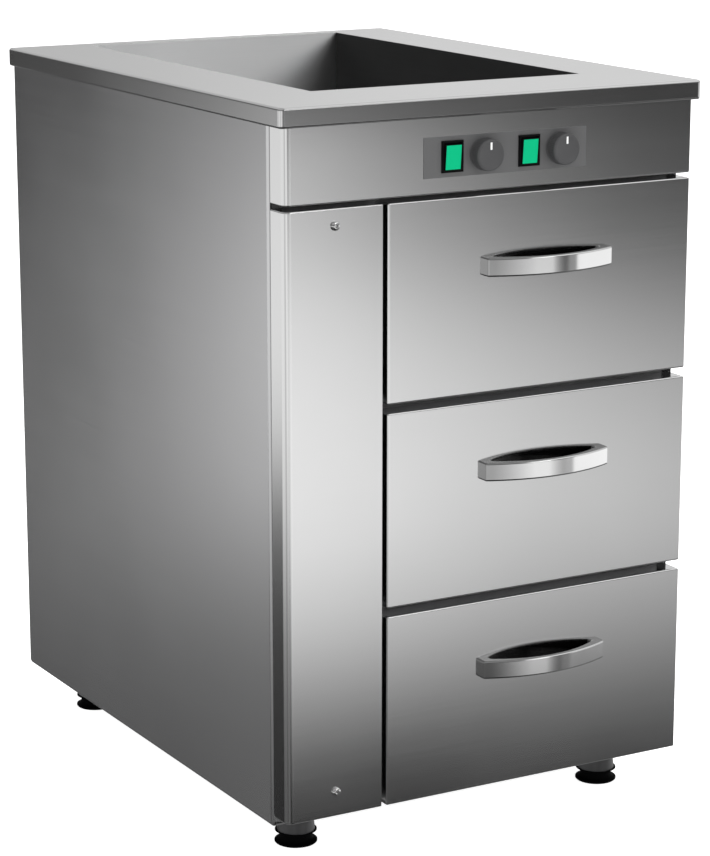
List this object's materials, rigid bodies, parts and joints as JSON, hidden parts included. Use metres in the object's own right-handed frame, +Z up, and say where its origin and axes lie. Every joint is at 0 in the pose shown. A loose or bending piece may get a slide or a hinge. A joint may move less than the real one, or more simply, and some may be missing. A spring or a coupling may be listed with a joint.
{
  "type": "bain marie cabinet",
  "caption": "Free-standing steel bain marie: open hot-water well in the worktop, rocker switches and dial thermostats on a fascia, heated drawers with bow handles below.",
  "frame": {"origin": "on the floor, below the middle of the whole object", "axes": "+X to the right seen from the front, +Y to the back, +Z up"},
  "size_m": [0.54, 0.7426, 0.85],
  "materials": {
    "worktop_steel": "satin",
    "tank_steel": "satin",
    "panel_steel": "brushed",
    "front_steel": "brushed",
    "inner_steel": "mill finish",
    "runner_steel": "zinc plated",
    "handle_metal": "satin",
    "screw_steel": "polished",
    "plate_grey": "matte",
    "switch_black": "moulded",
    "rocker_green": "translucent",
    "knob_grey": "moulded",
    "foot_black": "moulded",
    "collar_steel": "satin",
    "heater_metal": "oxidised",
    "insulation_wool": "mineral wool",
    "block_white": "moulded"
  },
  "bodies": {
    "cabinet": {"worktop": "worktop_steel", "well_tank": "tank_steel", "tank_heater": "heater_metal", "tank_insulation": "insulation_wool", "heater_tray": "inner_steel", "drain_socket": "tank_steel", "drain_pipe": "inner_steel", "left_side_panel": "panel_steel", "right_side_panel": "panel_steel", "back_panel": "inner_steel", "back_panel_screws": "screw_steel", "base_panel": "inner_steel", "partition": "inner_steel", "front_rails": "inner_steel", "right_rail_posts": "inner_steel", "control_fascia": "front_steel", "control_plate": "plate_grey", "well_switch_housing": "switch_black", "drawer_switch_housing": "switch_black", "well_thermostat": "inner_steel", "drawer_thermostat": "inner_steel", "terminal_block": "block_white", "cable_gland": "switch_black", "column_cover": "front_steel", "column_cover_brackets": "inner_steel", "column_cover_screws": "screw_steel", "drawer_heater": "heater_metal", "foot_collars": "collar_steel", "drawer_1_fixed_rails": "runner_steel", "drawer_2_fixed_rails": "runner_steel", "drawer_3_fixed_rails": "runner_steel"},
    "drawer_1": {"drawer_1_front": "front_steel", "drawer_1_box": "inner_steel", "drawer_1_handle": "handle_metal", "drawer_1_handle_screws": "screw_steel", "drawer_1_drawer_rails": "runner_steel"},
    "drawer_1_middle": {"drawer_1_middle_rails": "runner_steel"},
    "drawer_2": {"drawer_2_front": "front_steel", "drawer_2_box": "inner_steel", "drawer_2_handle": "handle_metal", "drawer_2_handle_screws": "screw_steel", "drawer_2_drawer_rails": "runner_steel"},
    "drawer_2_middle": {"drawer_2_middle_rails": "runner_steel"},
    "drawer_3": {"drawer_3_front": "front_steel", "drawer_3_box": "inner_steel", "drawer_3_handle": "handle_metal", "drawer_3_handle_screws": "screw_steel", "drawer_3_drawer_rails": "runner_steel"},
    "drawer_3_middle": {"drawer_3_middle_rails": "runner_steel"},
    "well_rocker": {"well_switch_rocker": "rocker_green"},
    "well_dial": {"well_knob": "knob_grey", "well_spindle": "inner_steel"},
    "drawer_rocker": {"drawer_switch_rocker": "rocker_green"},
    "drawer_dial": {"drawer_knob": "knob_grey", "drawer_spindle": "inner_steel"},
    "front_left_leveller": {"front_left_foot": "foot_black"},
    "front_right_leveller": {"front_right_foot": "foot_black"},
    "back_left_leveller": {"back_left_foot": "foot_black"},
    "back_right_leveller": {"back_right_foot": "foot_black"},
    "overflow_pipe": {"standpipe": "tank_steel"}
  },
  "joints": [
    {"name": "drawer_1_slide", "type": "slide", "parent": "cabinet", "child": "drawer_1", "axis": [0, -1, 0], "range_m": [0, 0.5]},
    {"name": "drawer_1_middle_slide", "type": "slide", "parent": "cabinet", "child": "drawer_1_middle", "axis": [0, -1, 0], "range_m": [0, 0.25]},
    {"name": "drawer_2_slide", "type": "slide", "parent": "cabinet", "child": "drawer_2", "axis": [0, -1, 0], "range_m": [0, 0.5]},
    {"name": "drawer_2_middle_slide", "type": "slide", "parent": "cabinet", "child": "drawer_2_middle", "axis": [0, -1, 0], "range_m": [0, 0.25]},
    {"name": "drawer_3_slide", "type": "slide", "parent": "cabinet", "child": "drawer_3", "axis": [0, -1, 0], "range_m": [0, 0.5]},
    {"name": "drawer_3_middle_slide", "type": "slide", "parent": "cabinet", "child": "drawer_3_middle", "axis": [0, -1, 0], "range_m": [0, 0.25]},
    {"name": "well_rocker_tip", "type": "hinge", "parent": "cabinet", "child": "well_rocker", "pos_m": [-0.0575, -0.34005, 0.785], "axis": [-1, 0, 0], "range_deg": [0, 10]},
    {"name": "well_dial_turn", "type": "hinge", "parent": "cabinet", "child": "well_dial", "pos_m": [-0.0169, -0.34325, 0.785], "axis": [0, 1, 0], "range_deg": [0, 270]},
    {"name": "drawer_rocker_tip", "type": "hinge", "parent": "cabinet", "child": "drawer_rocker", "pos_m": [0.041, -0.34005, 0.785], "axis": [-1, 0, 0], "range_deg": [0, 10]},
    {"name": "drawer_dial_turn", "type": "hinge", "parent": "cabinet", "child": "drawer_dial", "pos_m": [0.0816, -0.34325, 0.785], "axis": [0, 1, 0], "range_deg": [0, 270]},
    {"name": "front_left_foot_turn", "type": "hinge", "parent": "cabinet", "child": "front_left_leveller", "pos_m": [-0.2065, -0.25775, 0], "axis": [0, 0, 1], "continuous": true},
    {"name": "front_right_foot_turn", "type": "hinge", "parent": "cabinet", "child": "front_right_leveller", "pos_m": [0.2065, -0.25775, 0], "axis": [0, 0, 1], "continuous": true},
    {"name": "back_left_foot_turn", "type": "hinge", "parent": "cabinet", "child": "back_left_leveller", "pos_m": [-0.2065, 0.28925, 0], "axis": [0, 0, 1], "continuous": true},
    {"name": "back_right_foot_turn", "type": "hinge", "parent": "cabinet", "child": "back_right_leveller", "pos_m": [0.2065, 0.28925, 0], "axis": [0, 0, 1], "continuous": true},
    {"name": "standpipe_lift", "type": "slide", "parent": "cabinet", "child": "overflow_pipe", "axis": [0, 0, 1], "range_m": [0, 0.06]}
  ],
  "couplings": [
    {"joint": "drawer_1_middle_slide", "follows": "drawer_1_slide", "ratio": 0.5},
    {"joint": "drawer_2_middle_slide", "follows": "drawer_2_slide", "ratio": 0.5},
    {"joint": "drawer_3_middle_slide", "follows": "drawer_3_slide", "ratio": 0.5}
  ]
}
